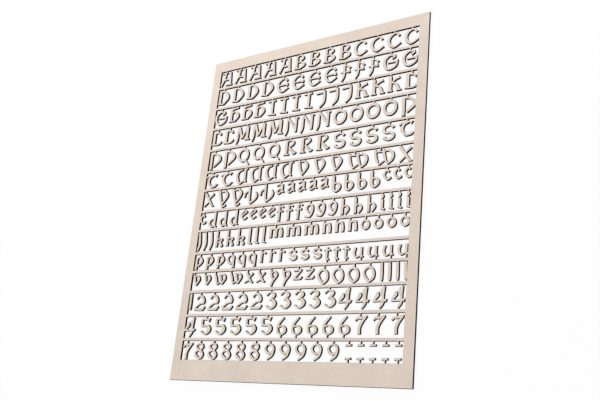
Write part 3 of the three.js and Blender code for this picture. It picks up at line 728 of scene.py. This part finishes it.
class Nodes:
    """Short ways to add nodes to a material."""

    def __init__(self, name):
        self.material = bpy.data.materials.new(name)
        self.material.use_nodes = True
        self.tree = self.material.node_tree
        self.shader = self.tree.nodes["Principled BSDF"]
        self.place = self.add("ShaderNodeTexCoord").outputs["Object"]

    def add(self, kind, **values):
        node = self.tree.nodes.new(kind)
        for key, value in values.items():
            if hasattr(node, key):
                setattr(node, key, value)
            else:
                self.feed(value, node.inputs[key])
        return node

    def feed(self, value, socket):
        if isinstance(value, bpy.types.NodeSocket):
            self.tree.links.new(value, socket)
        else:
            socket.default_value = value

    def noise(self, scale, detail, stretch=(1, 1, 1)):
        mapping = self.add("ShaderNodeMapping", Vector=self.place, Scale=stretch)
        node = self.add("ShaderNodeTexNoise", Vector=mapping.outputs[0], Scale=scale, Detail=detail)
        return node.outputs["Fac"]

    def ramp(self, value, *stops):
        node = self.add("ShaderNodeValToRGB", Fac=value)
        elements = node.color_ramp.elements
        while len(elements) < len(stops):
            elements.new(0.5)  # between the first and the last, until it gets its own position
        for element, (position, colour) in zip(elements, stops):
            element.position = position
            element.color = (*colour, 1)
        return node.outputs["Color"]

    def mix(self, share, a, b, blend="MIX"):
        node = self.add("ShaderNodeMix", data_type="RGBA", blend_type=blend)
        for value, number in zip((share, a, b), MIX_INPUTS):
            self.feed(value, node.inputs[number])
        return node.outputs[MIX_OUTPUT]

    def bump(self, height, strength):
        node = self.add("ShaderNodeBump", Height=height, Distance=BUMP_DEPTH, Strength=strength)
        self.feed(node.outputs[0], self.shader.inputs["Normal"])

    def finish(self, colour, roughness, shine):
        inputs = self.shader.inputs
        self.feed(colour, inputs["Base Color"])
        self.feed(roughness, inputs["Roughness"])
        self.feed(shine, inputs["Specular IOR Level"])


def srgb(red, green, blue):
    """A colour given as it looks on a screen, from 0 to 255, as shares of light, by the sRGB standard."""
    parts = [part / 255 for part in (red, green, blue)]
    return tuple(p / 12.92 if p <= 0.04045 else ((p + 0.055) / 1.055) ** 2.4 for p in parts)


def board_material():
    """Pale pressed board: cloudy tint, short fibres both ways, a few specks, a dry matt surface."""
    nodes = Nodes("pressed_board")
    darker, paler = (srgb(*tint) for tint in BOARD_TINTS)
    cloud = nodes.ramp(nodes.noise(CLOUDS, detail=4), (0.3, darker), (0.7, paler))
    along = nodes.noise(FIBRES_ALONG, detail=3, stretch=(0.25, 1, 1))
    across = nodes.noise(FIBRES_ACROSS, detail=3, stretch=(1, 0.3, 1))
    fibres = nodes.mix(0.5, along, across)
    shade = nodes.ramp(fibres, (0.35, FIBRE_SHADE), (0.65, WHITE))
    tinted = nodes.mix(1.0, cloud, shade, "MULTIPLY")
    specks = nodes.ramp(nodes.noise(SPECKS, detail=1), (0.74, BLACK), (0.8, WHITE))
    weak = nodes.mix(1.0, specks, (*SPECK_SHARE, 1), "MULTIPLY")
    colour = nodes.mix(weak, tinted, (*srgb(*SPECK_TINT), 1))
    nodes.finish(colour, BOARD_ROUGHNESS, BOARD_SHINE)
    nodes.bump(fibres, FIBRE_BUMP)
    return nodes.material


def wall_material():
    """A wall left by the cut: dark singed board with fine streaks straight through its thickness."""
    nodes = Nodes("singed_wall")
    darkest, middling, palest = (srgb(*tint) for tint in SINGED_TINTS)
    streaks = nodes.noise(STREAKS, detail=3, stretch=(1, 1, 0.12))
    layers = nodes.noise(LAYERS, detail=2, stretch=(0.3, 0.3, 4))
    grain = nodes.mix(0.35, streaks, layers)
    colour = nodes.ramp(grain, (0.3, darkest), (0.55, middling), (0.75, palest))
    nodes.finish(colour, WALL_ROUGHNESS, WALL_SHINE)
    nodes.bump(streaks, STREAK_BUMP)
    return nodes.material


def node_name(name):
    """The name that a free letter has in the solids."""
    if name.isdigit():
        return f"figure_{name}"
    return f"capital_{name}" if name.isupper() else f"small_{name}"


def dress(piece, body, node):
    """Ties a piece to its body, and hides the solid that it stands for."""
    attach(piece, body)
    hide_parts(node)


def build_sheet(places, free, materials):
    """The carrier: border, rails, the joined letters, and every letter's tab."""
    upper = sheet_height / 2
    right = sheet_width / 2
    side = window_width / 2
    loops = [rectangle(-right, -upper, right, upper)]
    top = upper - TOP_BORDER
    for row in ROWS:
        bottom = top - row_depth[row]
        head, foot = top + RAIL, bottom - RAIL
        polygons = [
            rectangle(-right, top, right, head),
            rectangle(-right, foot, right, bottom),
            rectangle(-right, foot, -side, head),
            rectangle(side, foot, right, head),
        ]
        for place in places:
            if place["row"] != row:
                continue
            is_free = place is free.get(place["name"])
            polygons.append(tab_patch(place, is_free))
            if not is_free:
                polygons += letter_patches(place)
        # The largest loop is the outer edge of the row's frame, and the others are its openings.
        loops += sorted(outlines(polygons), key=area)[:-1]
        top = foot
    dress(board_piece("sheet", loops, materials), "carrier", "carrier_sheet")


def build_letters(free, materials):
    """The free letters, each on its own body."""
    for name, place in free.items():
        node = node_name(name)
        piece = board_piece(f"letter_{node}", outlines(letter_patches(place)), materials)
        dress(piece, node, node)


def seen_directly(tree):
    """A value of one where the camera looks straight, through a clear body or in a mirror."""
    rays = tree.nodes.new("ShaderNodeLightPath").outputs
    found = rays["Is Camera Ray"]
    for kind in ("Is Glossy Ray", "Is Transmission Ray"):
        either = tree.nodes.new("ShaderNodeMath")
        either.operation = "MAXIMUM"
        tree.links.new(found, either.inputs[0])
        tree.links.new(rays[kind], either.inputs[1])
        found = either.outputs[0]
    return found


def build_floor():
    """A wide white floor that shows the sheet's faint shadow."""
    height = cad_low.z - FLOOR_GAP
    corners = rectangle(-FLOOR_HALF, -FLOOR_HALF, FLOOR_HALF, FLOOR_HALF)
    mesh = bpy.data.meshes.new("floor")
    mesh.from_pydata([(corner.x, corner.y, height) for corner in corners], [], [(0, 1, 2, 3)])
    floor = bpy.data.objects.new("floor", mesh)
    bpy.context.collection.objects.link(floor)
    nodes = Nodes("white_floor")
    nodes.feed(FLOOR_SHADE, nodes.shader.inputs["Base Color"])
    nodes.feed(1.0, nodes.shader.inputs["Roughness"])
    glow = nodes.add("ShaderNodeEmission", Color=(*WHITE, 1), Strength=1.0)
    share = nodes.add("ShaderNodeMath", operation="MULTIPLY")
    nodes.feed(seen_directly(nodes.tree), share.inputs[0])
    nodes.feed(FLOOR_WHITE, share.inputs[1])
    blend = nodes.add("ShaderNodeMixShader")
    for node, socket in zip((share, nodes.shader, glow), blend.inputs):
        nodes.feed(node.outputs[0], socket)
    nodes.feed(blend.outputs[0], nodes.tree.nodes["Material Output"].inputs["Surface"])
    mesh.materials.append(nodes.material)


def build_light():
    """An even white surround, and one soft lamp."""
    world = bpy.data.worlds.new("surround")
    bpy.context.scene.world = world
    world.use_nodes = True
    tree = world.node_tree
    ground = tree.nodes["Background"]
    ground.inputs["Color"].default_value = (*WHITE, 1)
    strength = tree.nodes.new("ShaderNodeMapRange")
    tree.links.new(seen_directly(tree), strength.inputs["Value"])
    strength.inputs["To Min"].default_value = SURROUND
    strength.inputs["To Max"].default_value = 1.0
    tree.links.new(strength.outputs[0], ground.inputs["Strength"])
    lamp = bpy.data.lights.new("soft_lamp", "AREA")
    lamp.shape = "SQUARE"
    lamp.size = LAMP_SIZE
    lamp.energy = LAMP_WATTS
    holder = bpy.data.objects.new("soft_lamp", lamp)
    holder.location = LAMP_PLACE
    holder.rotation_mode = "QUATERNION"
    holder.rotation_quaternion = holder.location.to_track_quat("Z", "Y")
    bpy.context.collection.objects.link(holder)


def build_camera():
    """The photograph's view, taken from the four corners of the sheet's face."""
    right = Vector(CAMERA_RIGHT).normalized()
    backward = right.cross(Vector(CAMERA_UP)).normalized()
    camera = bpy.data.cameras.new("camera")
    camera.lens = CAMERA_LENS
    camera.sensor_width = CAMERA_SENSOR
    camera.shift_x, camera.shift_y = CAMERA_SHIFT
    camera.clip_start = CAMERA_NEAR
    holder = bpy.data.objects.new("camera", camera)
    holder.matrix_world = Matrix((right, backward.cross(right), backward)).transposed().to_4x4()
    holder.location = (Vector(CAMERA_PLACE) + Vector((0, 0, BOARD))) * MM
    bpy.context.collection.objects.link(holder)
    bpy.context.scene.camera = holder


def main():
    materials = (board_material(), wall_material())
    places = lay_out()
    free = free_places(places)
    build_sheet(places, free, materials)
    build_letters(free, materials)
    build_floor()
    build_light()
    build_camera()
    bpy.context.scene.view_settings.view_transform = "Standard"


main()
